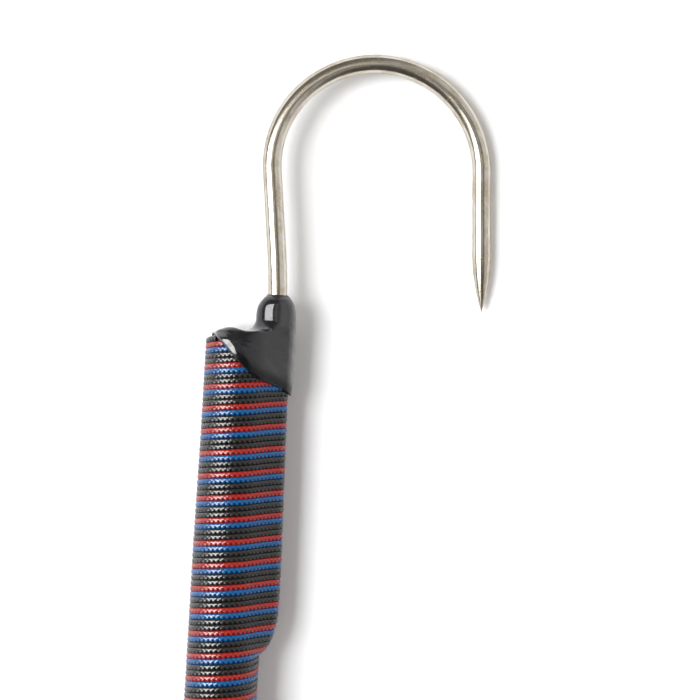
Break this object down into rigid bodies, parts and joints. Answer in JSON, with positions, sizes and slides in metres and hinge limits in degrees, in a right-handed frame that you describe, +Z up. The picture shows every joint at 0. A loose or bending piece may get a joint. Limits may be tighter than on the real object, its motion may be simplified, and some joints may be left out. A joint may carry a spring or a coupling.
{
  "type": "fishing gaff",
  "caption": "Hand-held fishing gaff: round-bend steel hook lashed with coloured cord to a tubular handle with foam grips and a butt cap.",
  "frame": {"origin": "centre of the butt cap's flat end face, on the pole's axis", "axes": "+Y along the pole towards the hook, +X towards the side the hook opens to, +Z up with the gaff lying on its grips and the hook's point leg resting on the same ground"},
  "size_m": [0.1226, 1.0395, 0.038],
  "materials": {
    "stainless_wire": "bright satin stainless wire, lightly brushed along its length",
    "pole_fibreglass": "smooth black fibreglass tube, semi-gloss",
    "plug_hardwood": "plain turned dowel",
    "bedding_epoxy": "thickened epoxy, amber",
    "cord_red": "braided cord under clear varnish",
    "cord_blue": "braided cord under clear varnish",
    "cord_black": "braided cord under clear varnish",
    "boot_vinyl": "thick glossy dipped vinyl",
    "shrink_sleeve": "matt heat-shrink sleeve",
    "grip_foam": "closed-cell foam, matt",
    "trim_ring": "black anodised",
    "cap_rubber": "matt moulded rubber"
  },
  "bodies": {
    "root": {"hook": "stainless_wire", "pole_tube": "pole_fibreglass", "head_plug": "plug_hardwood", "butt_plug": "plug_hardwood", "bed_fillet_front": "bedding_epoxy", "bed_fillet_back": "bedding_epoxy", "lashing_red": "cord_red", "lashing_blue": "cord_blue", "lashing_black_1": "cord_black", "lashing_black_2": "cord_black", "neck_whipping": "cord_black", "nose_boot": "boot_vinyl", "lashing_collar": "shrink_sleeve", "fore_grip": "grip_foam", "fore_grip_ring_front": "trim_ring", "fore_grip_ring_rear": "trim_ring", "butt_grip": "grip_foam", "butt_grip_ring": "trim_ring", "butt_cap": "cap_rubber"}
  },
  "joints": []
}
